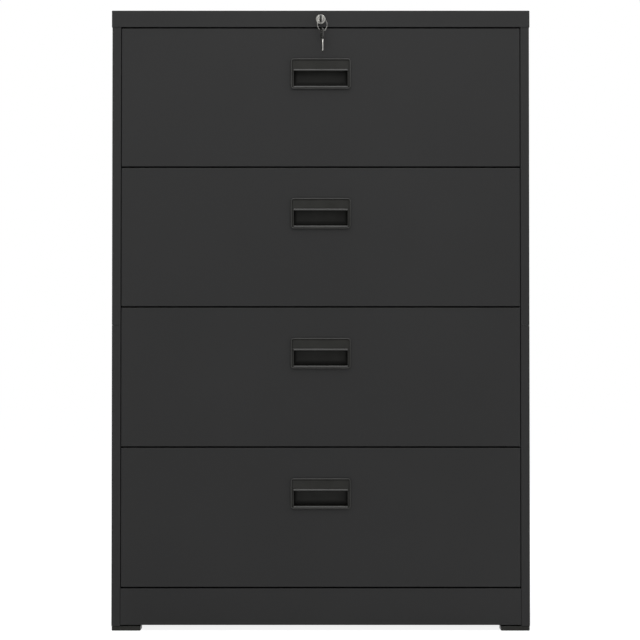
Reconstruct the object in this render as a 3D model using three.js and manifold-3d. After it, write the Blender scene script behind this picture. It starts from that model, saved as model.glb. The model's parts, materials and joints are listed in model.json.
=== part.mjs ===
// Lateral filing cabinet: a folded sheet-steel case with full-width drawers on telescopic slides,
// recessed pulls, hanging-file frames and one lock whose bar holds every drawer.
// Millimetres, +Z up. The front faces -Y, and the origin is on the floor under the middle of the object.

import * as THREE from 'three';
import { RoundedBoxGeometry } from 'three/addons/geometries/RoundedBoxGeometry.js';
import { mergeVertices } from 'three/addons/utils/BufferGeometryUtils.js';
import Module from 'manifold-3d';

// Overall sizes
const CABINET_WIDTH = 900;
const CABINET_DEPTH = 460;
const DRAWER_COUNT = 4;
const DRAWER_PITCH = 301;
const FOOT_HEIGHT = 10.1;
const PLINTH_HEIGHT = 82;
const CAP_HEIGHT = 37;
const LOWER_SIDE_HEIGHT = 645;

// Sheet metal and fits
const SHEET = 0.8;
const BEND = 1.2;
const EDGE = 1.5;
const SEAT_GAP = 0.3;
const RUN_GAP = 0.4;
const WELD = 0.2;

// Case
const FLANGE_WIDTH = 19;
const FLANGE_RETURN = 15;
const FLANGE_RELIEF = 5;
const REAR_RETURN = 18;
const SEAM_FLANGE = 15;
const SEAM_GAP = 0.6;
const BACK_FOLD = 12;
const CAP_LIP = 16;
const UPRIGHT_WIDTH = 36;
const UPRIGHT_SHEET = 1.2;
const UPRIGHT_INSET = 1;
const UPRIGHT_CLEARANCE = 5;
const UPRIGHT_END = 2;
const REAR_UPRIGHT_SETBACK = 30;
const PLINTH_LIFT = 2;
const PLINTH_RETURN = 15;
const FLOOR_FOLD = 20;
const FOOT_WIDTH = 62;
const FOOT_DEPTH = 45;
const FOOT_INSET = 0.5;
const FOOT_CORNER = 4;
const FOOT_EDGE = 1;

// Drawers
const DRAWER_GAP = 3;
const FRONT_SIDE_GAP = 1.2;
const FRONT_DEPTH = 26;
const FRONT_LIP = 14;
const TRAY_RISE = 14;
const TRAY_HEADROOM = 42;
const TRAY_RIM = 8;
const REAR_CLEARANCE = 20;
const RAIL_THICKNESS = 2.5;
const RAIL_HEIGHT = 14;
const FRONT_RAIL_INSET = 32;
const REAR_RAIL_INSET = 45;
const STRIP_WIDTH = 14;
const STRIP_THICKNESS = 2;

// Telescopic slides
const SLIDE_HEIGHT = 45;
const SLIDE_THICKNESS = 12.7;
const SLIDE_SHEET = 1.2;
const SLIDE_RISE = 95;
const SLIDE_SETBACK = 1;
const BALL = 4;
const MEMBER_STEP = 0.6;

// Recessed pulls
const HANDLE_WIDTH = 130;
const HANDLE_HEIGHT = 66.5;
const HANDLE_DROP = 98.1;
const HANDLE_CORNER = 7;
const HANDLE_PROUD = 3.2;
const HANDLE_EDGE = 2.6;
const HANDLE_RIM = 3;
const HANDLE_FIELD = 1.2;
const GROOVE_WIDTH = 1.6;
const GROOVE_DEPTH = 1.4;
const HANDLE_LAP = 4;
const CUP_WALL = 2;
const CUP_FLOOR = 4.2;
const CUP_DEPTH = 22;
const CUP_ROUND = 7;
const HOOD_THICKNESS = 5;
const HOOD_EDGE_RISE = 6.5;
const BEAD_RADIUS = 2.1;

// Lock and keys
const LOCK_DROP = 1.5;
const ESCUTCHEON_RADIUS = 10.3;
const ESCUTCHEON_THICKNESS = 3;
const ESCUTCHEON_EDGE = 0.8;
const BARREL_RADIUS = 8.5;
const BARREL_LENGTH = 30;
const PLUG_RADIUS = 6;
const TAIL_SIZE = 7;
const PLATE = 2;
const CAM_RADIUS = 6.5;
const CRANK_RADIUS = 8;
const PIN_RADIUS = 2;
const PIN_CLEARANCE = 0.45;
const PIN_MARGIN = 4;
const LINK_HEIGHT = 12;
const BAR_WIDTH = 15;
const NOTCH_DEPTH = 9.5;
const STOP_RISE = 14;
const STOP_PLAY = 1;
const GUIDE_RISE = 60;
const GUIDE_LAP = 4;
const KEY_BOW_LENGTH = 24;
const KEY_BOW_WIDTH = 15;
const KEY_BOW_THICKNESS = 4.6;
const KEY_BOW_CORNER = 6;
const KEY_BOW_EDGE = 1;
const KEY_HOLE_RADIUS = 3;
const KEY_HOLE_INSET = 8;
const BLADE_LENGTH = 28;
const BLADE_WIDTH = 8;
const BLADE_THICKNESS = 2;
const BLADE_ROOT = 6;
const BLADE_CUTS = [1.2, 2.2, 0.8, 1.8, 1.4];
const CUT_START = 6;
const CUT_PITCH = 4;
const CUT_FLAT = 0.5;
const CUT_FLARE = 1.3;
const RING_RADIUS = 8;
const WIRE_RADIUS = 0.8;
const RING_PLAY = 0.7;

// Facets
const BEND_STEPS = 2;
const EDGE_STEPS = 2;
const ARC_STEPS = 4;
const ROUND_STEPS = 20;
const WIRE_STEPS = 8;

// Finishes
const POWDER_COAT = { color: 0x373737, roughness: 0.55, metalness: 0 };
const BLACK_PLASTIC = { color: 0x22221f, roughness: 0.45, metalness: 0 };
const ZINC = { color: 0xb4b7b9, roughness: 0.4, metalness: 1 };
const NICKEL = { color: 0xdad9d4, roughness: 0.15, metalness: 1 };

// Places in the case, from the flanges' front backwards, from the middle outwards and from the floor up
const CAP_OVERHANG = SHEET + SEAT_GAP;
const SIDE_X = CABINET_WIDTH / 2 - CAP_OVERHANG;
const WALL_X = SIDE_X - SHEET;
const FIT_X = WALL_X - SEAT_GAP;
const OPENING_X = SIDE_X - FLANGE_WIDTH;
const REAR_Y = CABINET_DEPTH - 2 * CAP_OVERHANG;
const BACK_Y = REAR_Y - SHEET - SEAT_GAP - SHEET;
const PLINTH_TOP = FOOT_HEIGHT + PLINTH_HEIGHT;
const FLOOR_TOP = PLINTH_TOP - DRAWER_GAP / 2;
const DRAWERS_TOP = PLINTH_TOP + DRAWER_COUNT * DRAWER_PITCH;
const CAP_BOTTOM = DRAWERS_TOP + DRAWER_GAP / 2;
const CABINET_HEIGHT = DRAWERS_TOP + CAP_HEIGHT;
const UNDER_CAP = CABINET_HEIGHT - SHEET - SEAT_GAP;
const SEAM = FOOT_HEIGHT + LOWER_SIDE_HEIGHT;
const LOWER_TOP = SEAM - SEAM_GAP / 2;
const UPPER_BOTTOM = SEAM + SEAM_GAP / 2;
const drawerLines = Array.from({ length: DRAWER_COUNT }, (_, i) => DRAWERS_TOP - (i + 1) * DRAWER_PITCH);

// Places in the lock, from its escutcheon backwards: barrel, cam, link, bar
const LOCK_Z = (CAP_BOTTOM + CABINET_HEIGHT) / 2 - LOCK_DROP;
const ESCUTCHEON_BACK = -CAP_OVERHANG - SEAT_GAP;
const LOCK_FRONT = ESCUTCHEON_BACK - ESCUTCHEON_THICKNESS;
const BARREL_BACK = ESCUTCHEON_BACK + BARREL_LENGTH;
const CAM_Y = [BARREL_BACK + RUN_GAP, BARREL_BACK + RUN_GAP + PLATE];
const LINK_Y = [CAM_Y[1] + RUN_GAP, CAM_Y[1] + RUN_GAP + PLATE];
const BAR_Y = [LINK_Y[1] + RUN_GAP, LINK_Y[1] + RUN_GAP + PLATE];
const BAR_X = [OPENING_X + SHEET + RUN_GAP, OPENING_X + SHEET + RUN_GAP + BAR_WIDTH];
const CRANK_OFFSET = CRANK_RADIUS * Math.SQRT1_2;
const LINK_Z = LOCK_Z - (CRANK_RADIUS + CRANK_OFFSET) / 2;
const SLOT_RADIUS = PIN_RADIUS + PIN_CLEARANCE;
const LINK_END = SLOT_RADIUS + PIN_MARGIN;
const RIVET_X = BAR_X[1] - LINK_END;
const BAR_BOTTOM = drawerLines.at(-1) + GUIDE_RISE + SHEET + RUN_GAP;

// Places in a drawer, from its lower line up
const FRONT_X = OPENING_X - FRONT_SIDE_GAP;
const FRONT_Z = [DRAWER_GAP / 2, DRAWER_PITCH - DRAWER_GAP / 2];
const HANDLE_Z = FRONT_Z[1] - HANDLE_DROP;
const UPRIGHT_X = OPENING_X + UPRIGHT_INSET;
const FRONT_UPRIGHT_Y = BAR_Y[1] + UPRIGHT_CLEARANCE;
const REAR_UPRIGHT_Y = BACK_Y - REAR_UPRIGHT_SETBACK - UPRIGHT_WIDTH;
const SLIDE_X = UPRIGHT_X - SEAT_GAP;
const SLIDE_Y = [FRONT_UPRIGHT_Y + SLIDE_SETBACK, BACK_Y - REAR_CLEARANCE];
const TRAY_X = SLIDE_X - SLIDE_THICKNESS - SEAT_GAP;
const TRAY_Y = [FRONT_DEPTH + SEAT_GAP, BACK_Y - REAR_CLEARANCE];
const TRAY_Z = [TRAY_RISE, DRAWER_PITCH - TRAY_HEADROOM];
const CUP_WIDTH = HANDLE_WIDTH - 2 * (HANDLE_RIM + HANDLE_LAP / 2);
const CUP_HEIGHT = HANDLE_HEIGHT - 2 * HANDLE_RIM;

// Places of the keys, from the lock's axis
const KEY_SHOULDER_Y = LOCK_FRONT - SEAT_GAP;
const KEY_HOLE = KEY_BOW_LENGTH - KEY_HOLE_INSET;
const RING_Y = KEY_SHOULDER_Y - KEY_HOLE;
const WIRE_SEAT = KEY_HOLE_RADIUS - WIRE_RADIUS - RING_PLAY;
const RING_Z = LOCK_Z - WIRE_SEAT - RING_RADIUS;
const FRONTMOST = KEY_SHOULDER_Y - KEY_BOW_LENGTH;
const REARMOST = REAR_Y + CAP_OVERHANG;
const FRONT_PLANE_Y = -(FRONTMOST + REARMOST) / 2;

// Joins and cuts

const wasm = await Module();
wasm.setup();

function toSolid(geometry) {
  const bare = geometry.clone();
  bare.deleteAttribute('normal');
  bare.deleteAttribute('uv');
  const { index, attributes } = mergeVertices(bare, 1e-4);
  const triVerts = new Uint32Array(index.array);
  const vertProperties = attributes.position.array;
  return new wasm.Manifold(new wasm.Mesh({ numProp: 3, vertProperties, triVerts }));
}

function toGeometry(solid) {
  const { vertProperties, triVerts } = solid.getMesh();
  const shared = new THREE.BufferGeometry();
  shared.setAttribute('position', new THREE.BufferAttribute(vertProperties, 3));
  shared.setIndex(new THREE.BufferAttribute(triVerts, 1));
  const flat = shared.toNonIndexed();
  flat.computeVertexNormals();
  return flat;
}

function join(geometries) {
  return toGeometry(geometries.map(toSolid).reduce((whole, part) => whole.add(part)));
}

function cut(geometry, tools) {
  return toGeometry(tools.map(toSolid).reduce((whole, tool) => whole.subtract(tool), toSolid(geometry)));
}

// Forms

const inset = ([from, to], by) => [from + by, to - by];
const both = (half) => [-half, half];

// A block between three pairs of limits, with its edges rounded where a radius is given.
function slab(x, y, z, edge = 0) {
  const size = [x, y, z].map(([from, to]) => to - from);
  const middle = [x, y, z].map(([from, to]) => (from + to) / 2);
  const block = edge > 0 ? new RoundedBoxGeometry(...size, EDGE_STEPS, edge) : new THREE.BoxGeometry(...size);
  return block.translate(...middle);
}

function extrude(shape, length, bevel) {
  const geometry = new THREE.ExtrudeGeometry(shape, {
    depth: length - 2 * bevel,
    curveSegments: ARC_STEPS / 2,
    bevelEnabled: bevel > 0,
    bevelThickness: bevel,
    bevelSize: bevel,
    bevelOffset: -bevel,
    bevelSegments: EDGE_STEPS,
  });
  return geometry.translate(0, 0, bevel);
}

// A shape drawn in Y and Z, extruded along X.
function alongX(shape, [from, to], bevel = 0) {
  const turn = new THREE.Matrix4().set(0, 0, 1, from, 1, 0, 0, 0, 0, 1, 0, 0, 0, 0, 0, 1);
  return extrude(shape, to - from, bevel).applyMatrix4(turn);
}

// A shape drawn in X and Z, extruded along Y.
function alongY(shape, [from, to], bevel = 0) {
  const turn = new THREE.Matrix4().set(1, 0, 0, 0, 0, 0, -1, to, 0, 1, 0, 0, 0, 0, 0, 1);
  return extrude(shape, to - from, bevel).applyMatrix4(turn);
}

// A shape drawn in X and Y, extruded along Z.
function alongZ(shape, [from, to], bevel = 0) {
  return extrude(shape, to - from, bevel).translate(0, 0, from);
}

// The section of a bent sheet. Its middle line turns on an arc at each corner.
function foldedSheet(corners, thickness) {
  const points = corners.map(([a, b]) => new THREE.Vector2(a, b));
  const leftOf = (direction) => new THREE.Vector2(-direction.y, direction.x);
  const heading = (i) => points[i + 1].clone().sub(points[i]).normalize();
  const spine = [{ at: points[0], normal: leftOf(heading(0)) }];
  for (let i = 1; i < points.length - 1; i += 1) {
    const arriving = heading(i - 1);
    const leaving = heading(i);
    const angle = Math.atan2(arriving.cross(leaving), arriving.dot(leaving));
    const radius = BEND * Math.sign(angle);
    const start = points[i].clone().addScaledVector(arriving, -radius * Math.tan(angle / 2));
    const centre = start.addScaledVector(leftOf(arriving), radius);
    for (let step = 0; step <= BEND_STEPS; step += 1) {
      const normal = leftOf(arriving).rotateAround(new THREE.Vector2(), (angle * step) / BEND_STEPS);
      spine.push({ at: centre.clone().addScaledVector(normal, -radius), normal });
    }
  }
  spine.push({ at: points.at(-1), normal: leftOf(heading(points.length - 2)) });
  const face = (offset) => spine.map(({ at, normal }) => at.clone().addScaledVector(normal, offset));
  return new THREE.Shape([...face(thickness / 2), ...face(-thickness / 2).reverse()]);
}

function roundedRect(width, height, radius, centreA = 0, centreB = 0) {
  const a = width / 2 - radius;
  const b = height / 2 - radius;
  const shape = new THREE.Shape();
  shape.absarc(centreA + a, centreB + b, radius, 0, Math.PI / 2);
  shape.absarc(centreA - a, centreB + b, radius, Math.PI / 2, Math.PI);
  shape.absarc(centreA - a, centreB - b, radius, Math.PI, Math.PI * 1.5);
  shape.absarc(centreA + a, centreB - b, radius, Math.PI * 1.5, Math.PI * 2);
  return shape;
}

const disc = (radius, centreA, centreB) => roundedRect(2 * radius, 2 * radius, radius, centreA, centreB);

// The outline swept by a disc between two places.
function stadium([a0, b0], [a1, b1], radius) {
  const angle = Math.atan2(b1 - b0, a1 - a0);
  const shape = new THREE.Shape();
  shape.absarc(a1, b1, radius, angle - Math.PI / 2, angle + Math.PI / 2);
  shape.absarc(a0, b0, radius, angle + Math.PI / 2, angle + Math.PI * 1.5);
  return shape;
}

// A round pin along Y.
function pin(x, z, radius, [from, to]) {
  const rod = new THREE.CylinderGeometry(radius, radius, to - from, ROUND_STEPS);
  return rod.translate(x, (from + to) / 2, z);
}

function piece(name, geometry, finish) {
  const mesh = new THREE.Mesh(geometry, new THREE.MeshStandardMaterial(finish));
  mesh.name = name;
  return mesh;
}

// A group for the right half of the object and its mirror image for the left half.
function halves(parent) {
  const right = new THREE.Group();
  const left = new THREE.Group();
  left.scale.x = -1;
  parent.add(left, right);
  return [['left', left], ['right', right]];
}

// Case

// A five-sided pan over the sides and the back, with a lip along its front edge and a hole for the lock.
function topCap() {
  const x = both(CABINET_WIDTH / 2);
  const y = [-CAP_OVERHANG, REARMOST];
  const block = slab(x, y, [CAP_BOTTOM - 2 * EDGE, CABINET_HEIGHT], EDGE);
  const below = slab(inset(x, -EDGE), inset(y, -EDGE), [CAP_BOTTOM - 3 * EDGE, CAP_BOTTOM]);
  const hollow = slab(inset(x, SHEET), inset(y, SHEET), [CAP_BOTTOM - EDGE, CABINET_HEIGHT - SHEET]);
  const pan = cut(block, [below, hollow]);
  const lipY = [y[0] + SHEET - WELD, CAP_LIP];
  const lip = slab(both(OPENING_X - RUN_GAP), lipY, [CAP_BOTTOM, CAP_BOTTOM + SHEET]);
  const lockHole = pin(0, LOCK_Z, BARREL_RADIUS + SEAT_GAP, [y[0] - EDGE, EDGE]);
  return cut(join([pan, lip]), [lockHole]);
}

// A side folded round its front flange and its rear edge, with the two channels that carry the slides.
function sidePanel(z, uprightZ, flanges) {
  const half = SHEET / 2;
  const skin = foldedSheet([
    [OPENING_X + half, FLANGE_RETURN],
    [OPENING_X + half, half],
    [SIDE_X - half, half],
    [SIDE_X - half, REAR_Y - half],
    [SIDE_X - REAR_RETURN, REAR_Y - half],
  ], SHEET);
  const channel = (front) => foldedSheet([
    [WALL_X + WELD, front + UPRIGHT_SHEET / 2],
    [UPRIGHT_X + UPRIGHT_SHEET / 2, front + UPRIGHT_SHEET / 2],
    [UPRIGHT_X + UPRIGHT_SHEET / 2, front + UPRIGHT_WIDTH - UPRIGHT_SHEET / 2],
    [WALL_X + WELD, front + UPRIGHT_WIDTH - UPRIGHT_SHEET / 2],
  ], UPRIGHT_SHEET);
  const channelZ = inset(uprightZ, UPRIGHT_END);
  const uprights = [FRONT_UPRIGHT_Y, REAR_UPRIGHT_Y].map((y) => alongZ(channel(y), channelZ));
  return join([alongZ(skin, z), ...uprights, ...flanges]);
}

function seamFlange(bottom) {
  const y = inset([FRONT_UPRIGHT_Y + UPRIGHT_WIDTH, REAR_UPRIGHT_Y], FLANGE_RELIEF);
  return slab([WALL_X - SEAM_FLANGE, WALL_X + WELD], y, [bottom, bottom + SHEET]);
}

// The shelf under the side that the feet are screwed to.
function footFlange() {
  const x = [SIDE_X - FOOT_INSET - FOOT_WIDTH - FLANGE_RELIEF, WALL_X + WELD];
  const y = [FLANGE_RETURN + FLANGE_RELIEF, BACK_Y - FLANGE_RELIEF];
  return slab(x, y, [FOOT_HEIGHT, FOOT_HEIGHT + SHEET]);
}

// Shelves for the lock bar, one beside each drawer. It stands on the lowest and runs in the others' forks.
function barGuides([bottom, top]) {
  const x = [OPENING_X + RUN_GAP, WALL_X + WELD];
  const shelf = (z) => slab(x, inset(BAR_Y, -GUIDE_LAP), [z, z + SHEET]);
  const forkX = [x[0] - EDGE, BAR_X[1] + RUN_GAP];
  const fork = (z) => slab(forkX, inset(BAR_Y, -RUN_GAP), inset([z, z + SHEET], -EDGE));
  const heights = drawerLines.map((line) => line + GUIDE_RISE).filter((z) => z > bottom && z + SHEET < top);
  return heights.map((z) => (z + SHEET < BAR_BOTTOM ? shelf(z) : cut(shelf(z), [fork(z)])));
}

function lowerSide(withGuides) {
  const z = [FOOT_HEIGHT, LOWER_TOP];
  const flanges = [seamFlange(z[1] - SHEET), footFlange(), ...(withGuides ? barGuides(z) : [])];
  return sidePanel(z, [FLOOR_TOP, z[1]], flanges);
}

function upperSide(withGuides) {
  const z = [UPPER_BOTTOM, UNDER_CAP];
  return sidePanel(z, z, [seamFlange(z[0]), ...(withGuides ? barGuides(z) : [])]);
}

function backPanel([bottom, top], folds) {
  const fold = (z) => slab(both(FIT_X), [BACK_Y - BACK_FOLD, BACK_Y + WELD], [z, z + SHEET]);
  return join([slab(both(FIT_X), [BACK_Y, BACK_Y + SHEET], [bottom, top]), ...folds.map(fold)]);
}

// The plinth, the floor behind it and the folds round its edges, from one sheet.
function basePanel() {
  const half = SHEET / 2;
  const bottom = FOOT_HEIGHT + PLINTH_LIFT;
  const back = BACK_Y - SEAT_GAP;
  const section = foldedSheet([
    [PLINTH_RETURN, bottom + half],
    [half, bottom + half],
    [half, FLOOR_TOP - half],
    [back - half, FLOOR_TOP - half],
    [back - half, FLOOR_TOP - FLOOR_FOLD],
  ], SHEET);
  const width = OPENING_X - SEAT_GAP;
  const wingY = [FLANGE_RETURN + RUN_GAP, back - BEND];
  const wings = [-1, 1].flatMap((side) => {
    const span = (from, to) => [side * from, side * to].sort((a, b) => a - b);
    return [
      slab(span(width - WELD, FIT_X), wingY, [FLOOR_TOP - SHEET, FLOOR_TOP]),
      slab(span(FIT_X - SHEET, FIT_X), wingY, [FLOOR_TOP - FLOOR_FOLD, FLOOR_TOP - SHEET + WELD]),
    ];
  });
  return join([alongX(section, both(width)), ...wings]);
}

function foot() {
  const outline = roundedRect(FOOT_WIDTH, FOOT_DEPTH, FOOT_CORNER);
  return alongZ(outline, [0, FOOT_HEIGHT - SEAT_GAP], FOOT_EDGE);
}

function addCase(cabinet) {
  cabinet.add(piece('top_cap', topCap(), POWDER_COAT));
  for (const [side, half] of halves(cabinet)) {
    const locked = side === 'right';
    half.add(piece(`upper_${side}_side`, upperSide(locked), POWDER_COAT));
    half.add(piece(`lower_${side}_side`, lowerSide(locked), POWDER_COAT));
    for (const [end, y] of [['front', FOOT_INSET], ['rear', REAR_Y - FOOT_INSET - FOOT_DEPTH]]) {
      const pad = piece(`${end}_${side}_foot`, foot(), BLACK_PLASTIC);
      pad.position.set(SIDE_X - FOOT_INSET - FOOT_WIDTH / 2, y + FOOT_DEPTH / 2, 0);
      half.add(pad);
    }
  }
  const upperBack = backPanel([UPPER_BOTTOM, UNDER_CAP], [UPPER_BOTTOM, UNDER_CAP - SHEET]);
  const lowerBack = backPanel([FOOT_HEIGHT, LOWER_TOP], [LOWER_TOP - SHEET]);
  cabinet.add(piece('upper_back', upperBack, POWDER_COAT));
  cabinet.add(piece('lower_back', lowerBack, POWDER_COAT));
  cabinet.add(piece('base_panel', basePanel(), POWDER_COAT));
}

// Drawers

// A front folded back on all four edges, open behind inside its lips, with a cut-out for the pull.
function drawerFront() {
  const x = both(FRONT_X);
  const y = [0, FRONT_DEPTH];
  const hollow = slab(inset(x, SHEET), inset(y, SHEET), inset(FRONT_Z, SHEET));
  const openingY = [FRONT_DEPTH / 2, FRONT_DEPTH + EDGE];
  const opening = slab(inset(x, FRONT_LIP), openingY, inset(FRONT_Z, FRONT_LIP));
  const holeSize = [CUP_WIDTH + 2 * SEAT_GAP, CUP_HEIGHT + 2 * SEAT_GAP];
  const hole = roundedRect(...holeSize, HANDLE_CORNER, 0, HANDLE_Z);
  return cut(slab(x, y, FRONT_Z, EDGE), [hollow, opening, alongY(hole, [-EDGE, FRONT_DEPTH / 2])]);
}

// An open tray with an inward rim.
function tray() {
  const x = both(TRAY_X);
  const rimZ = [TRAY_Z[1] - SHEET - WELD, TRAY_Z[1] + EDGE];
  const hollow = slab(inset(x, SHEET), inset(TRAY_Y, SHEET), inset(TRAY_Z, SHEET));
  const mouth = slab(inset(x, TRAY_RIM), inset(TRAY_Y, TRAY_RIM), rimZ);
  return cut(slab(x, TRAY_Y, TRAY_Z), [hollow, mouth]);
}

// Two rails for hanging files, welded across two strips that lie on the tray's rim.
function fileFrame() {
  const bottom = TRAY_Z[1] + SEAT_GAP;
  const end = TRAY_X - SEAT_GAP;
  const frontRail = [TRAY_Y[0] + FRONT_RAIL_INSET, TRAY_Y[0] + FRONT_RAIL_INSET + RAIL_THICKNESS];
  const rearRail = [TRAY_Y[1] - REAR_RAIL_INSET - RAIL_THICKNESS, TRAY_Y[1] - REAR_RAIL_INSET];
  const rails = [frontRail, rearRail].map((y) => slab(both(end), y, [bottom, bottom + RAIL_HEIGHT]));
  const stripY = [frontRail[0] - STRIP_WIDTH, rearRail[1] + STRIP_WIDTH];
  const strips = [[-end, -end + STRIP_WIDTH], [end - STRIP_WIDTH, end]];
  return join([...rails, ...strips.map((x) => slab(x, stripY, [bottom, bottom + STRIP_THICKNESS]))]);
}

// A moulded pull: a bezel with a raised rim and a groove inside it, a hood over its upper part, and a cup
// that opens under the hood's beaded edge and rises behind it for the fingers.
function handle() {
  const front = -SEAT_GAP - HANDLE_PROUD;
  const field = front + HANDLE_FIELD;
  const outline = roundedRect(HANDLE_WIDTH, HANDLE_HEIGHT, HANDLE_CORNER);
  const plate = alongY(outline, [front, HANDLE_EDGE], HANDLE_EDGE);
  const behind = slab(both(HANDLE_WIDTH), [-SEAT_GAP, 2 * HANDLE_EDGE], both(HANDLE_HEIGHT));
  const cupCorner = HANDLE_CORNER - SEAT_GAP;
  const cup = alongY(roundedRect(CUP_WIDTH, CUP_HEIGHT, cupCorner), [-SEAT_GAP - WELD, CUP_DEPTH]);
  const rimWidth = HANDLE_WIDTH - 2 * HANDLE_RIM;
  const rimHeight = HANDLE_HEIGHT - 2 * HANDLE_RIM;
  const fieldOutline = roundedRect(rimWidth, rimHeight, HANDLE_CORNER - HANDLE_RIM);
  const fieldCut = alongY(fieldOutline, [front - EDGE, field]);
  const islandSize = [rimWidth - 2 * GROOVE_WIDTH, rimHeight - 2 * GROOVE_WIDTH];
  const island = roundedRect(...islandSize, HANDLE_CORNER - HANDLE_RIM - GROOVE_WIDTH);
  const grooveY = [front - EDGE, field + GROOVE_DEPTH];
  const groove = cut(alongY(fieldOutline, grooveY), [alongY(island, inset(grooveY, -EDGE))]);

  const floorZ = -CUP_HEIGHT / 2 + CUP_FLOOR;
  const roofZ = CUP_HEIGHT / 2 - CUP_WALL;
  const backY = CUP_DEPTH - CUP_WALL;
  const hoodBack = field + HOOD_THICKNESS;
  const cavity = new THREE.Shape();
  cavity.moveTo(front - EDGE, floorZ);
  cavity.lineTo(backY - CUP_ROUND, floorZ);
  cavity.absarc(backY - CUP_ROUND, floorZ + CUP_ROUND, CUP_ROUND, -Math.PI / 2, 0);
  cavity.absarc(backY - CUP_ROUND, roofZ - CUP_ROUND, CUP_ROUND, 0, Math.PI / 2);
  cavity.lineTo(hoodBack, roofZ);
  cavity.lineTo(hoodBack, HOOD_EDGE_RISE);
  cavity.lineTo(front - EDGE, HOOD_EDGE_RISE);
  const cavityX = both(CUP_WIDTH / 2 - CUP_WALL);

  const bead = (z) => alongX(disc(BEAD_RADIUS, field, z), cavityX);
  const body = cut(join([cut(plate, [behind]), cup]), [fieldCut, groove, alongX(cavity, cavityX)]);
  return join([body, bead(HOOD_EDGE_RISE + BEAD_RADIUS), bead(floorZ - BEAD_RADIUS)]);
}

// The section of one slide member: a channel whose edges turn in towards its middle down to the given tip.
function slideChannel(web, edge, halfHeight, tip) {
  const half = SLIDE_SHEET / 2;
  const inward = Math.sign(edge - web) * half;
  const webX = SLIDE_X - web - inward;
  const edgeX = SLIDE_X - edge + inward;
  const top = halfHeight - half;
  return foldedSheet([
    [edgeX, SLIDE_RISE + tip],
    [edgeX, SLIDE_RISE + top],
    [webX, SLIDE_RISE + top],
    [webX, SLIDE_RISE - top],
    [edgeX, SLIDE_RISE - top],
    [edgeX, SLIDE_RISE - tip],
  ], SLIDE_SHEET);
}

// Three members of one telescopic slide, nested with a row of balls between each two. On the lock bar's side
// the inner one ends in an upright stop, which rises past the other members behind the bar.
function slideMembers(withStop) {
  const outerHalf = SLIDE_HEIGHT / 2;
  const middleHalf = outerHalf - SLIDE_SHEET - BALL;
  const innerHalf = middleHalf - SLIDE_SHEET - BALL;
  const half = SLIDE_SHEET / 2;
  const middleWeb = 2 * SLIDE_SHEET;
  const middleEdge = SLIDE_THICKNESS - SLIDE_SHEET - RUN_GAP;
  const outerEdge = middleEdge - MEMBER_STEP;
  const innerWebX = SLIDE_X - SLIDE_THICKNESS + half;
  const innerEdgeX = SLIDE_X - middleWeb - SLIDE_SHEET - RUN_GAP - half;
  const inner = foldedSheet([
    [innerEdgeX, SLIDE_RISE + innerHalf - half],
    [innerWebX, SLIDE_RISE + innerHalf - half],
    [innerWebX, SLIDE_RISE - innerHalf + half],
    [innerEdgeX, SLIDE_RISE - innerHalf + half],
  ], SLIDE_SHEET);
  const stopX = [SLIDE_X - SLIDE_THICKNESS, innerEdgeX];
  const stopY = [BAR_Y[1] + STOP_PLAY, BAR_Y[1] + STOP_PLAY + PLATE];
  const stop = slab(stopX, stopY, [SLIDE_RISE, SLIDE_RISE + outerHalf + STOP_RISE]);
  const tongueX = [stopX[0], stopX[0] + SLIDE_SHEET];
  const tongueZ = [SLIDE_RISE, SLIDE_RISE + innerHalf - 2 * BEND];
  const tongue = slab(tongueX, [stopY[0] + WELD, SLIDE_Y[0] + WELD], tongueZ);
  const runner = alongY(inner, SLIDE_Y);
  return {
    outer: alongY(slideChannel(0, outerEdge, outerHalf, middleHalf + RUN_GAP), SLIDE_Y),
    middle: alongY(slideChannel(middleWeb, middleEdge, middleHalf, innerHalf + RUN_GAP), SLIDE_Y),
    inner: withStop ? join([runner, tongue, stop]) : runner,
  };
}

function addDrawers(cabinet) {
  const members = { left: Object.entries(slideMembers(false)), right: Object.entries(slideMembers(true)) };
  const parts = [
    ['front', drawerFront(), POWDER_COAT, 0],
    ['tray', tray(), POWDER_COAT, 0],
    ['file_frame', fileFrame(), ZINC, 0],
    ['handle', handle(), BLACK_PLASTIC, HANDLE_Z],
  ];
  drawerLines.forEach((line, i) => {
    const drawer = new THREE.Group();
    drawer.position.z = line;
    cabinet.add(drawer);
    for (const [name, geometry, finish, z] of parts) {
      const part = piece(`drawer_${i + 1}_${name}`, geometry, finish);
      part.position.z = z;
      drawer.add(part);
    }
    for (const [side, half] of halves(drawer)) {
      for (const [member, geometry] of members[side]) {
        half.add(piece(`drawer_${i + 1}_${member}_slide_${side}`, geometry, ZINC));
      }
    }
  });
}

// Lock

// A barrel behind a chamfered escutcheon, bored through for the plug.
function lockHousing() {
  const bore = PLUG_RADIUS + SEAT_GAP;
  const profile = [
    [bore, LOCK_FRONT],
    [ESCUTCHEON_RADIUS - ESCUTCHEON_EDGE, LOCK_FRONT],
    [ESCUTCHEON_RADIUS, LOCK_FRONT + ESCUTCHEON_EDGE],
    [ESCUTCHEON_RADIUS, ESCUTCHEON_BACK],
    [BARREL_RADIUS, ESCUTCHEON_BACK],
    [BARREL_RADIUS, BARREL_BACK],
    [bore, BARREL_BACK],
    [bore, LOCK_FRONT],
  ];
  return new THREE.LatheGeometry(profile.map(([r, y]) => new THREE.Vector2(r, y)), ROUND_STEPS);
}

// The turning plug, slotted for the key, with a square tail for the cam.
function lockPlug() {
  const tail = slab(both(TAIL_SIZE / 2), [BARREL_BACK - WELD, CAM_Y[1]], both(TAIL_SIZE / 2));
  const slotY = [LOCK_FRONT - EDGE, KEY_SHOULDER_Y + BLADE_LENGTH + SEAT_GAP];
  const slot = slab(both(BLADE_THICKNESS / 2 + SEAT_GAP), slotY, both(BLADE_WIDTH / 2 + SEAT_GAP));
  return cut(join([pin(0, 0, PLUG_RADIUS, [LOCK_FRONT, BARREL_BACK]), tail]), [slot]);
}

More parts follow.
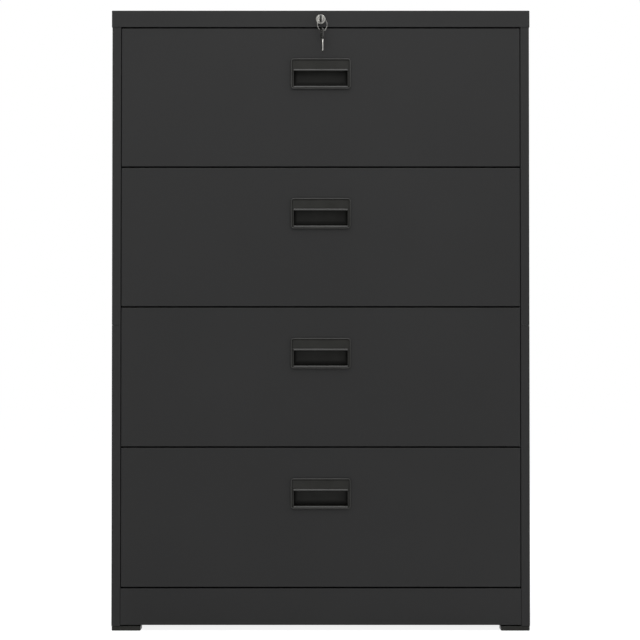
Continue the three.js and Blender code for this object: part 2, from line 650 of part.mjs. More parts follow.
// The crank on the plug's tail. A quarter turn carries its pin from one side to the other.
function lockCam() {
  const arm = alongY(stadium([0, 0], [CRANK_OFFSET, -CRANK_OFFSET], CAM_RADIUS), CAM_Y);
  const hole = slab(both(TAIL_SIZE / 2 + SEAT_GAP), inset(CAM_Y, -EDGE), both(TAIL_SIZE / 2 + SEAT_GAP));
  const crankPin = pin(CRANK_OFFSET, -CRANK_OFFSET, PIN_RADIUS, [CAM_Y[1] - WELD, LINK_Y[1] + RUN_GAP / 2]);
  return join([cut(arm, [hole]), crankPin]);
}

// The flat link from the cam to the bar. Its upright slot takes the crank pin, its round hole the bar's rivet.
function lockLink() {
  const topPin = LOCK_Z - CRANK_OFFSET;
  const lowPin = LOCK_Z - CRANK_RADIUS;
  const strip = slab([CRANK_OFFSET - LINK_END, BAR_X[1]], LINK_Y, inset([LINK_Z, LINK_Z], -LINK_HEIGHT / 2));
  const through = inset(LINK_Y, -EDGE);
  const crankSlot = stadium([CRANK_OFFSET, lowPin], [CRANK_OFFSET, topPin], SLOT_RADIUS);
  return cut(strip, [alongY(crankSlot, through), pin(RIVET_X, LINK_Z, SLOT_RADIUS, through)]);
}

// The flat bar behind the right flange, riveted to the link and notched where the slides run. Drawn in by the
// link, it stands in front of the stops on the drawers' slides.
function lockBar() {
  const strip = slab(BAR_X, BAR_Y, [BAR_BOTTOM, LINK_Z + LINK_HEIGHT / 2]);
  const notchX = [BAR_X[0] - EDGE, BAR_X[0] + NOTCH_DEPTH];
  const notches = drawerLines.map((line) => {
    const notchZ = inset([line + SLIDE_RISE, line + SLIDE_RISE], -SLIDE_HEIGHT / 2);
    return slab(notchX, inset(BAR_Y, -EDGE), notchZ);
  });
  const rivet = pin(RIVET_X, LINK_Z, PIN_RADIUS, [LINK_Y[0] - RUN_GAP / 2, BAR_Y[0] + WELD]);
  return join([cut(strip, notches), rivet]);
}

// A flat key along Y with its shoulder at the origin: the moulded bow in front, the cut blade behind.
function flatKey() {
  const half = BLADE_WIDTH / 2;
  const outline = roundedRect(KEY_BOW_LENGTH, KEY_BOW_WIDTH, KEY_BOW_CORNER, -KEY_BOW_LENGTH / 2, 0);
  const bow = alongX(outline, both(KEY_BOW_THICKNESS / 2), KEY_BOW_EDGE);
  const hole = alongX(disc(KEY_HOLE_RADIUS, -KEY_HOLE, 0), both(KEY_BOW_THICKNESS));
  const blade = new THREE.Shape();
  blade.moveTo(-BLADE_ROOT, -half);
  blade.lineTo(BLADE_LENGTH - half, -half);
  blade.lineTo(BLADE_LENGTH, 0);
  blade.lineTo(BLADE_LENGTH - half, half);
  BLADE_CUTS.map((depth, i) => [CUT_START + i * CUT_PITCH, half - depth]).reverse().forEach(([y, z]) => {
    blade.lineTo(y + CUT_FLARE, half);
    blade.lineTo(y + CUT_FLAT, z);
    blade.lineTo(y - CUT_FLAT, z);
    blade.lineTo(y - CUT_FLARE, half);
  });
  blade.lineTo(-BLADE_ROOT, half);
  return join([cut(bow, [hole]), alongX(blade, both(BLADE_THICKNESS / 2))]);
}

function addLock(cabinet) {
  const lock = new THREE.Group();
  lock.position.z = LOCK_Z;
  lock.add(piece('lock_housing', lockHousing(), NICKEL));
  lock.add(piece('lock_plug', lockPlug(), NICKEL));
  lock.add(piece('lock_cam', lockCam(), ZINC));
  const key = piece('key', flatKey(), NICKEL);
  key.position.y = KEY_SHOULDER_Y;
  lock.add(key);
  cabinet.add(lock);
  cabinet.add(piece('lock_link', lockLink(), ZINC));
  cabinet.add(piece('lock_bar', lockBar(), ZINC));

  const loop = new THREE.TorusGeometry(RING_RADIUS, WIRE_RADIUS, WIRE_STEPS, ROUND_STEPS);
  const ring = piece('key_ring', loop, NICKEL);
  ring.rotation.x = Math.PI / 2;
  ring.position.set(0, RING_Y, RING_Z);
  cabinet.add(ring);
}

const filingCabinet = new THREE.Group();
const cabinet = new THREE.Group();
cabinet.position.y = FRONT_PLANE_Y;
filingCabinet.add(cabinet);
addCase(cabinet);
addDrawers(cabinet);
addLock(cabinet);

export default filingCabinet;
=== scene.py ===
"""Looks of the lateral filing cabinet: finishes, small pieces, light and camera, in metres."""

import json
import math

import bmesh
import bpy
from mathutils import Matrix, Vector


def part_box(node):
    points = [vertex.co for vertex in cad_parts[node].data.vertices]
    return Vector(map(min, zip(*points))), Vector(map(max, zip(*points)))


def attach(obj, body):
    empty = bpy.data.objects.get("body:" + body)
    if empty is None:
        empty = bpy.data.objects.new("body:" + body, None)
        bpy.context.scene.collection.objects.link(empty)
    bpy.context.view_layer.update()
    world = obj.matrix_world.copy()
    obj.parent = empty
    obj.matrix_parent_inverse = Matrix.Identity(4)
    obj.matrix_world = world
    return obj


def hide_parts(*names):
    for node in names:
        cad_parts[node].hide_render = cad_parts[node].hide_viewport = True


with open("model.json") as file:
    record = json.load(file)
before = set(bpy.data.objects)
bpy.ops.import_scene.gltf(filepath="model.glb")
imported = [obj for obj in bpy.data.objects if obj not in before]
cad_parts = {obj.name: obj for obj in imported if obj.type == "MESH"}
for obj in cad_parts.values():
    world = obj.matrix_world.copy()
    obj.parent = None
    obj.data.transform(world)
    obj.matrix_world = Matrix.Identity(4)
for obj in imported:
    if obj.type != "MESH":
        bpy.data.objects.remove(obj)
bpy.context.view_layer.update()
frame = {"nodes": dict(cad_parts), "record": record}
scene = bpy.context.scene
nodes = frame["nodes"]

MM = 0.001
UP = Vector((0, 0, 1))
DRAWER_COUNT = 4

# Camera, from the drawers' front plane: the photograph looks at the front almost square on
CAMERA_DISTANCE = 4.5
CAMERA_HEIGHT = 0.5781
CAMERA_OFFSET = -0.0015
AIM_HEIGHT = 0.6661
LENS_MM = 117.8

# Studio: softboxes with place, aim, width, height and watts, light from all round, and a floor.
# Where they are seen, the surroundings and the floor have a white of their own.
CASE_MIDDLE = (0, 0, 0.7)
LAMPS = {
    "overhead": ((0, -1.1, 3.0), (0, -1.1, 0), 2.6, 3.0, 60),
    "front": ((0.1, -2.9, 2.5), CASE_MIDDLE, 2.6, 1.4, 12),
    "right_side": ((3.2, -1.0, 2.2), CASE_MIDDLE, 1.6, 1.6, 24),
    "behind": ((-1.8, 3.2, 2.8), CASE_MIDDLE, 2.2, 1.4, 50),
}
SKY = (0.97, 0.98, 1, 1)
SKY_STRENGTH = 0.45
SEEN_SKY = (1, 1, 1, 1)
FLOOR_SIZE = 40
FLOOR = (0.8, 0.8, 0.8, 1)
SEEN_FLOOR = (0.3, 0.3, 0.3, 1)
SEEN_FLOOR_GLOW = 0.868

# Finishes. Noise is in features a metre, a bump is depth and strength, tones are shares of the
# colour, and what is uneven is added to the roughness.
NOISE_MIDDLE = (0.3, 0.7)
NOISE_DETAIL = 2
LINE_DETAIL = 3
CLOUD_DETAIL = 4
ANTHRACITE = (0.0262, 0.0262, 0.0261)
POWDER_ROUGHNESS = 0.55
POWDER_SPECULAR = 0.13
POWDER_UNEVEN = (-0.09, 0.07)
POWDER_TONES = (0.96, 1.04)
POWDER_CLOUD = 3.5
POWDER_GRAIN = 1500
POWDER_GRAIN_BUMP = (0.1 * MM, 0.6)
POWDER_PEEL = 330
POWDER_PEEL_BUMP = (0.14 * MM, 0.4)
BLACK = (0.026, 0.026, 0.0238)
PLASTIC_UNEVEN = (-0.06, 0.08)
PLASTIC_TONES = (0.9, 1.12)
PLASTIC_FLOW = 40
PLASTIC_GRAIN = 2200
PLASTIC_GRAIN_BUMP = (0.05 * MM, 0.3)
PLATING_UNEVEN = (-0.07, 0.1)
PLATING_TONES = (0.86, 1.08)
PLATING_CLOUD = 28
PLATING_LINES = 700
PLATING_LINES_BUMP = (0.02 * MM, 0.25)

# Roughness and specular of plastic, as it is moulded and as hands leave it
MOULDED = (0.36, 0.09)
RUBBED = (0.2, 0.28)
POLISHED = (0.16, 0.45)

# Plated metals: colour, roughness, and a scale for each axis, low along the drawing lines
PLATED = {
    "zinc_steel": ((0.56, 0.57, 0.58), 0.36, (1, 0.03, 1)),
    "nickel": ((0.34, 0.335, 0.315), 0.2, (1, 1, 0.2)),
    "key_steel": ((0.48, 0.47, 0.445), 0.28, (1, 0.1, 0.1)),
}

# Edges that a press brake, a mould or a plating bath leaves
SHEET_EDGE = 0.22 * MM
PLASTIC_EDGE = 0.45 * MM
PLATED_EDGE = 0.2 * MM
EDGE_STEPS = 3
CORNER_STEPS = 10
EDGE_ANGLE = math.radians(38)
FLAT_ANGLE = math.radians(0.6)
MERGE_DISTANCE = 0.002 * MM

# Keys, as in the solids, with round edges and cuts
BOW_LENGTH = 24 * MM
BOW_WIDTH = 15 * MM
BOW_CORNER = 6 * MM
BOW_THICKNESS = 4.6 * MM
BOW_ROUND = 2 * MM
BOW_HOLE = 3 * MM
BOW_HOLE_INSET = 8 * MM
BLADE_WIDTH = 8 * MM
BLADE_LENGTH = 28 * MM
BLADE_ROOT = 5 * MM
BLADE_THICKNESS = 2 * MM
BLADE_EDGE = 0.25 * MM
BLADE_CUTS = (1.2 * MM, 2.2 * MM, 0.8 * MM, 1.8 * MM, 1.4 * MM)
CUT_START = 6 * MM
CUT_PITCH = 4 * MM
CUT_FLAT = 0.5 * MM
CUT_FLARE = 1.3 * MM

# Split ring, wider than the solid's, turned and leaning to the right. The shift lets it clear the
# edge of the bow's hole. The spare key hangs from it, turned a little from edge on.
RING_COILS = 2
RING_STEPS = 48
RING_RADIUS = 13.6 * MM
RING_LEAN = math.radians(18)
RING_TURN = math.radians(40)
RING_SHIFT = Vector((0, -0.4, 0.8)) * MM
RING_PLAY = 0.7 * MM
SPARE_TURN = math.radians(20)

# Lips and rim of the pulls: rises from a pull's middle, depths and insets from its front and edge
LIP_RADIUS = 2.15 * MM
LIP_LENGTH = 116 * MM
LIP_DEPTH = 1.2 * MM
HOOD_LIP_RISE = 7.9 * MM
CUP_LIP_RISE = -28.5 * MM
RIM_RADIUS = 1.45 * MM
RIM_INSET = 1.7 * MM
RIM_CORNER = 5.3 * MM

# Shade painted into the floor and sides of a pull's cup, in shares of the pull's box: up, out from
# the middle, and in from the front; then the share of colour and specular left where it is darkest
CUP_SHADE_FLOOR = (0.18, 0.29)
CUP_SHADE_SIDE = (0.385, 0.435)
CUP_SHADE_DEPTH = (0.4, 0.6)
CUP_SHADE_SHARE = 0.4

# Lock face
LOCK_STEPS = 64
LOCK_ROUND = 0.9 * MM
LOCK_ROUND_STEPS = 6
LOCK_GROOVE = 0.5 * MM
LOCK_FLANGE = 1.8 * MM
LOCK_SEAT = 0.3 * MM

# Folded ends of the plinth
PLINTH_SHEET = 0.8 * MM
PLINTH_GAP = 0.3 * MM
PLINTH_FOLD = 12 * MM

# Screws on the back
SCREW_RADIUS = 3.8 * MM
SCREW_HEIGHT = 1 * MM
SCREW_ROUND = 0.4 * MM
SCREW_STEPS = 6
CROSS_WIDTH = 1.2 * MM
CROSS_LENGTH = 4.4 * MM
SCREW_INSET = 10 * MM
SCREW_END = 40 * MM
SCREWS_PER_EDGE = 4


# Node helpers


def feed(owner, socket, value):
    """Joins an input to another node's output, or sets its value."""
    if isinstance(value, bpy.types.NodeSocket):
        owner.node_tree.links.new(value, socket)
    else:
        socket.default_value = value


def feed_all(owner, node, **inputs):
    """Feeds a node's inputs by name."""
    for name, value in inputs.items():
        feed(owner, node.inputs[name.replace("_", " ")], value)


def add(owner, kind, **inputs):
    """A node of that kind in a material or a world, with its inputs fed."""
    node = owner.node_tree.nodes.new(kind)
    feed_all(owner, node, **inputs)
    return node


def new_material(name, base, roughness, metallic=0.0, specular=0.5):
    made = bpy.data.materials.new(name)
    made.use_nodes = True
    shader = made.node_tree.nodes["Principled BSDF"]
    values = {"Roughness": roughness, "Metallic": metallic, "Specular_IOR_Level": specular}
    feed_all(made, shader, Base_Color=(*base, 1), **values)
    return made, shader


def place(made, stretch=(1, 1, 1)):
    """Coordinates in metres, stretched so that grain can run along one axis."""
    metres = add(made, "ShaderNodeTexCoord").outputs["Object"]
    return add(made, "ShaderNodeMapping", Vector=metres, Scale=stretch).outputs[0]


def noise(made, vector, scale, detail=NOISE_DETAIL):
    return add(made, "ShaderNodeTexNoise", Vector=vector, Scale=scale, Detail=detail).outputs["Fac"]


def ramp(made, value, ends, low, high):
    """Low before the first end, high after the second, and a straight line between."""
    limits = {"From_Min": ends[0], "From_Max": ends[1], "To_Min": low, "To_Max": high}
    return add(made, "ShaderNodeMapRange", Value=value, **limits).outputs[0]


def calculate(owner, operation, first, second):
    node = add(owner, "ShaderNodeMath")
    node.operation = operation
    for socket, value in zip(node.inputs, (first, second)):
        feed(owner, socket, value)
    return node.outputs[0]


def spread(made, value, low, high):
    """The noise's useful middle range, mapped to low and high."""
    return ramp(made, value, NOISE_MIDDLE, low, high)


def shade(colour, factor):
    return tuple(channel * factor for channel in colour)


def tint(made, factor, first, second):
    """A blend of two colours. The first may be another node's."""
    node = add(made, "ShaderNodeMix")
    node.data_type = "RGBA"
    start = first if isinstance(first, bpy.types.NodeSocket) else (*first, 1)
    feed_all(made, node, Factor=factor, A=start, B=(*second, 1))
    return node.outputs["Result"]


def tones(made, value, base, shares):
    """A colour that drifts between two tones with the noise."""
    return tint(made, spread(made, value, 0, 1), *(shade(base, share) for share in shares))


def uneven(made, value, middle, offsets):
    """A roughness that drifts round its middle with the noise."""
    return spread(made, value, *(middle + offset for offset in offsets))


def bump(made, height, depth, strength, **below):
    """A normal for that height, on the normal below if there is one."""
    inputs = {"Height": height, "Distance": depth, "Strength": strength}
    return add(made, "ShaderNodeBump", **inputs, **below).outputs["Normal"]


# Finishes


def powder_coat():
    """Baked powder: a fine grain over a slow orange peel, a little uneven in tone and gloss."""
    name = "powder_coat"
    made, shader = new_material(name, ANTHRACITE, POWDER_ROUGHNESS, specular=POWDER_SPECULAR)
    metres = place(made)
    grain = noise(made, metres, POWDER_GRAIN, LINE_DETAIL)
    peel = bump(made, noise(made, metres, POWDER_PEEL), *POWDER_PEEL_BUMP)
    feed_all(
        made,
        shader,
        Base_Color=tones(made, noise(made, metres, POWDER_CLOUD), ANTHRACITE, POWDER_TONES),
        Roughness=uneven(made, grain, POWDER_ROUGHNESS, POWDER_UNEVEN),
        Normal=bump(made, grain, *POWDER_GRAIN_BUMP, Normal=peel),
    )
    return made


def moulded_plastic(name, base, roughness, specular):
    """Black moulding with the fine spark-eroded grain of its tool."""
    made, shader = new_material(name, base, roughness, specular=specular)
    metres = place(made)
    grain = noise(made, metres, PLASTIC_GRAIN)
    feed_all(
        made,
        shader,
        Base_Color=tones(made, noise(made, metres, PLASTIC_FLOW), base, PLASTIC_TONES),
        Roughness=uneven(made, grain, roughness, PLASTIC_UNEVEN),
        Normal=bump(made, grain, *PLASTIC_GRAIN_BUMP),
    )
    return made


def pull_plastic(base, roughness, specular):
    """The pulls' moulding, with shade painted on the cup's floor and sides, which makes it darker
    and less glossy there.
    """
    made = moulded_plastic("pull_plastic", base, roughness, specular)
    shader = made.node_tree.nodes["Principled BSDF"]
    unshaded = shader.inputs["Base Color"].links[0].from_socket
    box = add(made, "ShaderNodeTexCoord").outputs["Generated"]
    x, y, z = add(made, "ShaderNodeSeparateXYZ", Vector=box).outputs
    across = calculate(made, "ABSOLUTE", calculate(made, "SUBTRACT", x, 0.5), 0)
    floor = ramp(made, z, CUP_SHADE_FLOOR, 1, 0)
    sides = ramp(made, across, CUP_SHADE_SIDE, 0, 1)
    depth = ramp(made, y, CUP_SHADE_DEPTH, 0, 1)
    # Painted shade: deep in the cup, near its floor and sides, the colour is darkened and the
    # specular lowered.
    painted_shade = calculate(made, "MULTIPLY", calculate(made, "MAXIMUM", floor, sides), depth)
    feed_all(
        made,
        shader,
        Base_Color=tint(made, painted_shade, unshaded, shade(base, CUP_SHADE_SHARE)),
        Specular_IOR_Level=ramp(made, painted_shade, (0, 1), specular, specular * CUP_SHADE_SHARE),
    )
    return made


def plated_steel(name, base, roughness, stretch):
    """Plated sheet: drawing lines along one axis, with a faint cloudiness in the plating."""
    made, shader = new_material(name, base, roughness, metallic=1.0)
    lines = noise(made, place(made, stretch), PLATING_LINES, LINE_DETAIL)
    cloud = noise(made, place(made), PLATING_CLOUD, CLOUD_DETAIL)
    feed_all(
        made,
        shader,
        Base_Color=tones(made, cloud, base, PLATING_TONES),
        Roughness=uneven(made, lines, roughness, PLATING_UNEVEN),
        Normal=bump(made, lines, *PLATING_LINES_BUMP),
    )
    return made


FINISHES = {
    "powder_coat": powder_coat(),
    "black_plastic": moulded_plastic("black_plastic", BLACK, *MOULDED),
    **{name: plated_steel(name, *values) for name, values in PLATED.items()},
}
# The pulls' plastic carries shade painted into their cups.
PULL_PLASTIC = pull_plastic(BLACK, *MOULDED)
RUBBED_PLASTIC = moulded_plastic("rubbed_plastic", BLACK, *RUBBED)
POLISHED_PLASTIC = moulded_plastic("polished_plastic", BLACK, *POLISHED)
EDGES = {
    "powder_coat": SHEET_EDGE,
    "black_plastic": PLASTIC_EDGE,
    "zinc_steel": SHEET_EDGE,
    "nickel": PLATED_EDGE,
    "key_steel": PLATED_EDGE,
}


def smooth(mesh):
    mesh.polygons.foreach_set("use_smooth", [True] * len(mesh.polygons))


def round_edges(item, width):
    """Merges flat facets into whole faces, then rounds the edges between them."""
    smooth(item.data)
    weld = item.modifiers.new("weld", "WELD")
    weld.merge_threshold = MERGE_DISTANCE
    flats = item.modifiers.new("flats", "DECIMATE")
    flats.decimate_type = "DISSOLVE"
    flats.angle_limit = FLAT_ANGLE
    edge = item.modifiers.new("edge", "BEVEL")
    edge.width = width
    edge.segments = EDGE_STEPS
    edge.limit_method = "ANGLE"
    edge.angle_limit = EDGE_ANGLE
    edge.miter_outer = "MITER_ARC"
    normals = item.modifiers.new("normals", "WEIGHTED_NORMAL")
    normals.keep_sharp = True


def dress_nodes():
    for subpart in frame["record"]["subparts"]:
        slot = subpart["material_slot"]
        item = nodes[subpart["node"]]
        item.data.materials.clear()
        # Pulls get the plastic with shade painted into their cups.
        is_pull = subpart["node"].endswith("_handle")
        item.data.materials.append(PULL_PLASTIC if is_pull else FINISHES[slot])
        round_edges(item, EDGES[slot])


# Pieces


def add_piece(name, mesh, body, slot, finish=None):
    smooth(mesh)
    item = bpy.data.objects.new(name, mesh)
    scene.collection.objects.link(item)
    mesh.materials.append(finish or FINISHES[slot])
    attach(item, body)
    return item


def mesh_of_curve(curve):
    """The mesh of a curve with its fill, extrusion and bevel."""
    holder = bpy.data.objects.new("outline", curve)
    scene.collection.objects.link(holder)
    bpy.context.view_layer.update()
    evaluated = holder.evaluated_get(bpy.context.evaluated_depsgraph_get())
    mesh = bpy.data.meshes.new_from_object(evaluated)
    bpy.data.objects.remove(holder)
    bpy.data.curves.remove(curve)
    return mesh


def plate(outlines, thickness, edge):
    """A flat piece with rounded edges. The first outline is its rim, the others are holes."""
    curve = bpy.data.curves.new("plate", "CURVE")
    curve.dimensions = "2D"
    curve.fill_mode = "BOTH"
    curve.extrude = thickness / 2 - edge
    curve.bevel_depth = edge
    curve.bevel_resolution = EDGE_STEPS
    curve.offset = -edge
    for outline in outlines:
        spline = curve.splines.new("POLY")
        spline.points.add(len(outline) - 1)
        spline.points.foreach_set("co", [value for a, b in outline for value in (a, b, 0, 1)])
        spline.use_cyclic_u = True
    return mesh_of_curve(curve)


def tube(paths, radius, closed=False):
    """Round rods of that radius along paths of points."""
    curve = bpy.data.curves.new("tube", "CURVE")
    curve.dimensions = "3D"
    curve.bevel_depth = radius
    curve.bevel_resolution = 2 * EDGE_STEPS
    curve.use_fill_caps = True
    for path in paths:
        spline = curve.splines.new("POLY")
        spline.points.add(len(path) - 1)
        for point, position in zip(spline.points, path):
            point.co = (*position, 1)
        spline.use_cyclic_u = closed
    return mesh_of_curve(curve)


def arc(centre, radius, start, end, steps):
    turns = [start + (end - start) * i / steps for i in range(steps + 1)]
    return [(centre[0] + radius * math.cos(t), centre[1] + radius * math.sin(t)) for t in turns]


def rounded_rectangle(centre, width, height, radius, steps=CORNER_STEPS):
    a = width / 2 - radius
    b = height / 2 - radius
    quarter = math.pi / 2
    outline = []
    for i, (x, y) in enumerate([(a, b), (-a, b), (-a, -b), (a, -b)]):
        corner = (centre[0] + x, centre[1] + y)
        outline += arc(corner, radius, i * quarter, (i + 1) * quarter, steps)
    return outline


def blade_outline():
    half = BLADE_WIDTH / 2
    tip = BLADE_LENGTH - half
    outline = [(-BLADE_ROOT, -half), (tip, -half), (BLADE_LENGTH, 0), (tip, half)]
    for i in reversed(range(len(BLADE_CUTS))):
        at = CUT_START + i * CUT_PITCH
        floor = half - BLADE_CUTS[i]
        outline += [(at + CUT_FLARE, half), (at + CUT_FLAT, floor)]
        outline += [(at - CUT_FLAT, floor), (at - CUT_FLARE, half)]
    return outline + [(-BLADE_ROOT, half)]


# A plate lies in X and Y: this stands it up with its length along Y and its width along Z.
UPRIGHT = Matrix(((0, 0, 1, 0), (1, 0, 0, 0), (0, 1, 0, 0), (0, 0, 0, 1)))


def make_key(name, body, to_place):
    """A flat key with a moulded bow. Its shoulder is at the place's origin, its blade along Y."""
    hole_centre = (BOW_HOLE_INSET - BOW_LENGTH, 0)
    hole = rounded_rectangle(hole_centre, 2 * BOW_HOLE, 2 * BOW_HOLE, BOW_HOLE)
    rim = rounded_rectangle((-BOW_LENGTH / 2, 0), BOW_LENGTH, BOW_WIDTH, BOW_CORNER)
    bow = plate([rim, hole], BOW_THICKNESS, BOW_ROUND)
    blade = plate([blade_outline()], BLADE_THICKNESS, BLADE_EDGE)
    for mesh in (bow, blade):
        mesh.transform(to_place @ UPRIGHT)
    add_piece(name + "_blade", blade, body, "key_steel")
    return add_piece(name + "_bow", bow, body, "black_plastic", RUBBED_PLASTIC)


def ring_place():
    """The ring's centre, its sideways direction, and the half thickness of its coils."""
    low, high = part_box("key_ring")
    thickness = (high.y - low.y) / 2
    middle = (low + high) / 2
    top = Vector((middle.x, middle.y, high.z - thickness)) + RING_SHIFT
    side = Vector((math.cos(RING_TURN), math.sin(RING_TURN), 0))
    hang = math.sin(RING_LEAN) * side - math.cos(RING_LEAN) * UP
    return top + RING_RADIUS * hang, side, thickness


def dress_keys():
    """The key in the lock, and the spare key that hangs from the ring."""
    low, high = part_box("key")
    middle = (low + high) / 2
    shoulder = Matrix.Translation((middle.x, low.y + BOW_LENGTH, middle.z))
    bow = make_key("lock_key", "key", shoulder)
    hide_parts("key")
    centre, _, thickness = ring_place()
    hole = centre.z - RING_RADIUS - (BOW_HOLE - thickness - RING_PLAY)
    hang = Matrix.Translation((centre.x, centre.y, hole + BOW_HOLE_INSET - BOW_LENGTH))
    turn = Matrix.Rotation(SPARE_TURN, 4, "Z") @ Matrix.Rotation(-math.pi / 2, 4, "X")
    make_key("spare_key", "key_ring", hang @ turn)


def dress_ring():
    """A split ring: two coils of one wire, side by side."""
    centre, side, thickness = ring_place()
    across = UP.cross(side)
    wire = thickness / RING_COILS
    steps = RING_STEPS * RING_COILS
    path = []
    for i in range(steps + 1):
        turn = 2 * math.pi * i / RING_STEPS
        along = (thickness - wire) * (2 * i / steps - 1)
        spoke = math.cos(turn) * side + math.sin(turn) * UP
        path.append(centre + RING_RADIUS * spoke + along * across)
    ring = add_piece("split_ring", tube([path], wire), "key_ring", "nickel")
    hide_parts("key_ring")


def dress_pulls():
    """Where hands polish each pull: the hood's edge and the cup's edge, and less so the rim."""
    for i in range(DRAWER_COUNT):
        body = f"drawer_{i + 1}"
        low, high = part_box(body + "_handle")
        middle = (low + high) / 2
        ends = (middle.x - LIP_LENGTH / 2, middle.x + LIP_LENGTH / 2)
        rises = (HOOD_LIP_RISE, CUP_LIP_RISE)
        lips = [[(x, low.y + LIP_DEPTH, middle.z + rise) for x in ends] for rise in rises]
        rods = tube(lips, LIP_RADIUS)
        add_piece(body + "_pull_lips", rods, body, "black_plastic", POLISHED_PLASTIC)
        width = high.x - low.x - 2 * RIM_INSET
        height = high.z - low.z - 2 * RIM_INSET
        outline = rounded_rectangle((middle.x, middle.z), width, height, RIM_CORNER)
        rim = tube([[(x, low.y + RIM_INSET, z) for x, z in outline]], RIM_RADIUS, closed=True)
        add_piece(body + "_pull_rim", rim, body, "black_plastic", RUBBED_PLASTIC)


def spin(profile, axis_point):
    """A turned piece about Y from a closed profile of radius and depth."""
    shape = bmesh.new()
    ring = [shape.verts.new((radius, depth, 0)) for radius, depth in profile]
    edges = [shape.edges.new((ring[i - 1], ring[i])) for i in range(len(ring))]
    turn = {"axis": (0, 1, 0), "angle": 2 * math.pi, "steps": LOCK_STEPS, "use_merge": True}
    bmesh.ops.spin(shape, geom=ring + edges, cent=(0, 0, 0), **turn)
    bmesh.ops.recalc_face_normals(shape, faces=shape.faces)
    bmesh.ops.translate(shape, verts=shape.verts, vec=axis_point)
    mesh = bpy.data.meshes.new("turned")
    shape.to_mesh(mesh)
    shape.free()
    return mesh


def dress_lock():
    """The lock's barrel and escutcheon, with a rounded rim and a turned groove round the plug."""
    low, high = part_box("lock_housing")
    plug_low, plug_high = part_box("lock_plug")
    cap_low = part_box("top_cap")[0]
    rim = (high.x - low.x) / 2
    bore = (plug_high.x - plug_low.x) / 2 + LOCK_SEAT
    barrel = rim - LOCK_FLANGE
    seat = cap_low.y - LOCK_SEAT
    groove = (bore + rim) / 2
    corner = (low.y + LOCK_ROUND, rim - LOCK_ROUND)
    rounding = arc(corner, LOCK_ROUND, math.pi, math.pi / 2, LOCK_ROUND_STEPS)
    profile = [
        (bore, high.y),
        (bore, low.y + LOCK_SEAT),
        (bore + LOCK_SEAT, low.y),
        (groove - LOCK_GROOVE, low.y),
        (groove, low.y + LOCK_GROOVE),
        (groove + LOCK_GROOVE, low.y),
        *((radius, depth) for depth, radius in rounding),
        (rim, seat),
        (barrel, seat),
        (barrel, high.y),
    ]
    centre = (low + high) / 2
    turned = spin(profile, Vector((centre.x, 0, centre.z)))
    housing = add_piece("lock_cylinder", turned, "cabinet", "nickel")
    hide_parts("lock_housing")
    normals = housing.modifiers.new("normals", "WEIGHTED_NORMAL")
    normals.keep_sharp = True


def dress_plinth():
    """Ends folded back from the plinth, which close its joints with the sides."""
    low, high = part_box("base_panel")
    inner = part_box("upper_right_side")[0].x - PLINTH_GAP - PLINTH_SHEET / 2
    centre = (low.y + PLINTH_SHEET + PLINTH_FOLD / 2, (low.z + high.z) / 2)
    height = high.z - low.z - 2 * PLINTH_SHEET
    outline = rounded_rectangle(centre, PLINTH_FOLD, height, PLINTH_SHEET)
    for name, x in (("left", -inner), ("right", inner)):
        end = plate([outline], PLINTH_SHEET, SHEET_EDGE)
        end.transform(Matrix.Translation((x, 0, 0)) @ UPRIGHT)
        add_piece(f"plinth_{name}_end", end, "cabinet", "powder_coat")


def screw_head():
    """A flat head with a cross recess, in X and Y."""
    rim = rounded_rectangle((0, 0), 2 * SCREW_RADIUS, 2 * SCREW_RADIUS, SCREW_RADIUS, SCREW_STEPS)
    a = CROSS_LENGTH / 2
    b = CROSS_WIDTH / 2
    arm = [(a, -b), (a, b), (b, b)]
    quarters = ((1, 0), (0, 1), (-1, 0), (0, -1))
    cross = [(x * c - y * d, x * d + y * c) for c, d in quarters for x, y in arm]
    return plate([rim, cross], SCREW_HEIGHT, SCREW_ROUND)


def dress_screws():
    """Rows of screws that hold the back panels to the sides."""
    head = screw_head()
    facing = Matrix.Rotation(math.pi / 2, 4, "X")
    for part in ("upper", "lower"):
        low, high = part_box(part + "_left_side")
        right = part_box(part + "_right_side")[1].x
        shape = bmesh.new()
        for x in (low.x + SCREW_INSET, right - SCREW_INSET):
            for i in range(SCREWS_PER_EDGE):
                share = i / (SCREWS_PER_EDGE - 1)
                z = low.z + SCREW_END + share * (high.z - low.z - 2 * SCREW_END)
                copy = head.copy()
                copy.transform(Matrix.Translation((x, high.y + SCREW_HEIGHT / 2, z)) @ facing)
                shape.from_mesh(copy)
                bpy.data.meshes.remove(copy)
        mesh = bpy.data.meshes.new(part + "_back_screws")
        shape.to_mesh(mesh)
        shape.free()
        add_piece(part + "_back_screws", mesh, "cabinet", "zinc_steel")
    bpy.data.meshes.remove(head)


# Stage


def split_rays(owner, output, plain, seen):
    """A shader for light, and another for rays that see it, from the camera or by way of metal."""
    rays = add(owner, "ShaderNodeLightPath").outputs
    factor = rays["Is Camera Ray"]
    for name in ("Is Glossy Ray", "Is Transmission Ray"):
        factor = calculate(owner, "MAXIMUM", factor, rays[name])
    mix = add(owner, "ShaderNodeMixShader", Fac=factor)
    feed(owner, mix.inputs[1], plain.outputs[0])
    feed(owner, mix.inputs[2], seen.outputs[0])
    add(owner, output, Surface=mix.outputs[0])


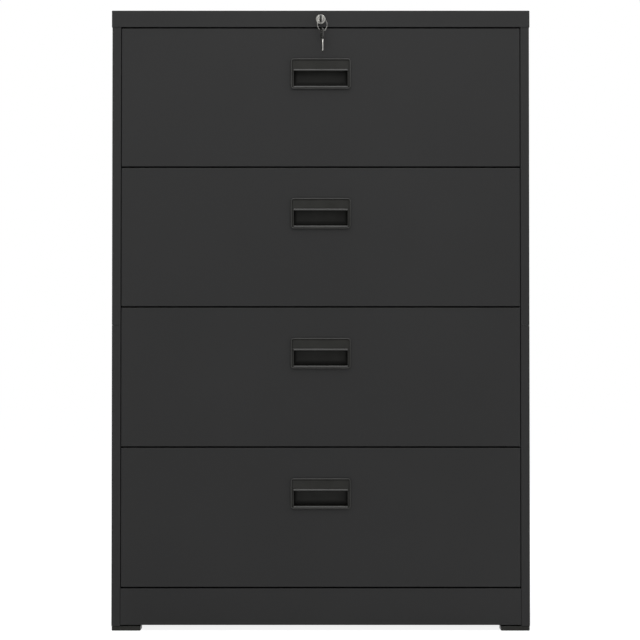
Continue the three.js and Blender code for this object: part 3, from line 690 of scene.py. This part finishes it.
def make_world():
    world = bpy.data.worlds.new("studio")
    scene.world = world
    world.use_nodes = True
    world.node_tree.nodes.clear()
    light = add(world, "ShaderNodeBackground", Color=SKY, Strength=SKY_STRENGTH)
    seen = add(world, "ShaderNodeBackground", Color=SEEN_SKY)
    split_rays(world, "ShaderNodeOutputWorld", light, seen)


def make_floor():
    """A white floor. Where it is seen, most of its white is its own, so shadows stay soft."""
    bpy.ops.mesh.primitive_plane_add(size=FLOOR_SIZE)
    floor = bpy.context.active_object
    floor.name = "floor"
    made = bpy.data.materials.new("floor")
    made.use_nodes = True
    made.node_tree.nodes.clear()
    plain = add(made, "ShaderNodeBsdfDiffuse", Color=FLOOR)
    lit = add(made, "ShaderNodeBsdfDiffuse", Color=SEEN_FLOOR)
    glow = add(made, "ShaderNodeEmission", Strength=SEEN_FLOOR_GLOW)
    seen = add(made, "ShaderNodeAddShader")
    feed(made, seen.inputs[0], lit.outputs[0])
    feed(made, seen.inputs[1], glow.outputs[0])
    split_rays(made, "ShaderNodeOutputMaterial", plain, seen)
    floor.data.materials.append(made)


def aim(item, target):
    direction = Vector(target) - item.location
    item.rotation_mode = "QUATERNION"
    item.rotation_quaternion = direction.to_track_quat("-Z", "Y")


def softbox(name, location, target, width, height, watts):
    data = bpy.data.lights.new(name, "AREA")
    data.shape = "RECTANGLE"
    data.size = width
    data.size_y = height
    data.energy = watts
    lamp = bpy.data.objects.new(name, data)
    lamp.location = location
    scene.collection.objects.link(lamp)
    aim(lamp, target)


def make_lights():
    for name, values in LAMPS.items():
        softbox(name, *values)


def make_camera():
    data = bpy.data.cameras.new("camera")
    data.lens = LENS_MM
    camera = bpy.data.objects.new("camera", data)
    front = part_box("drawer_1_front")[0].y
    camera.location = (CAMERA_OFFSET, front - CAMERA_DISTANCE, CAMERA_HEIGHT)
    aim(camera, (CAMERA_OFFSET, front, AIM_HEIGHT))
    scene.collection.objects.link(camera)
    scene.camera = camera


dress_nodes()
dress_keys()
dress_ring()
dress_pulls()
dress_lock()
dress_plinth()
dress_screws()
make_world()
make_floor()
make_lights()
make_camera()
scene.view_settings.view_transform = "Standard"
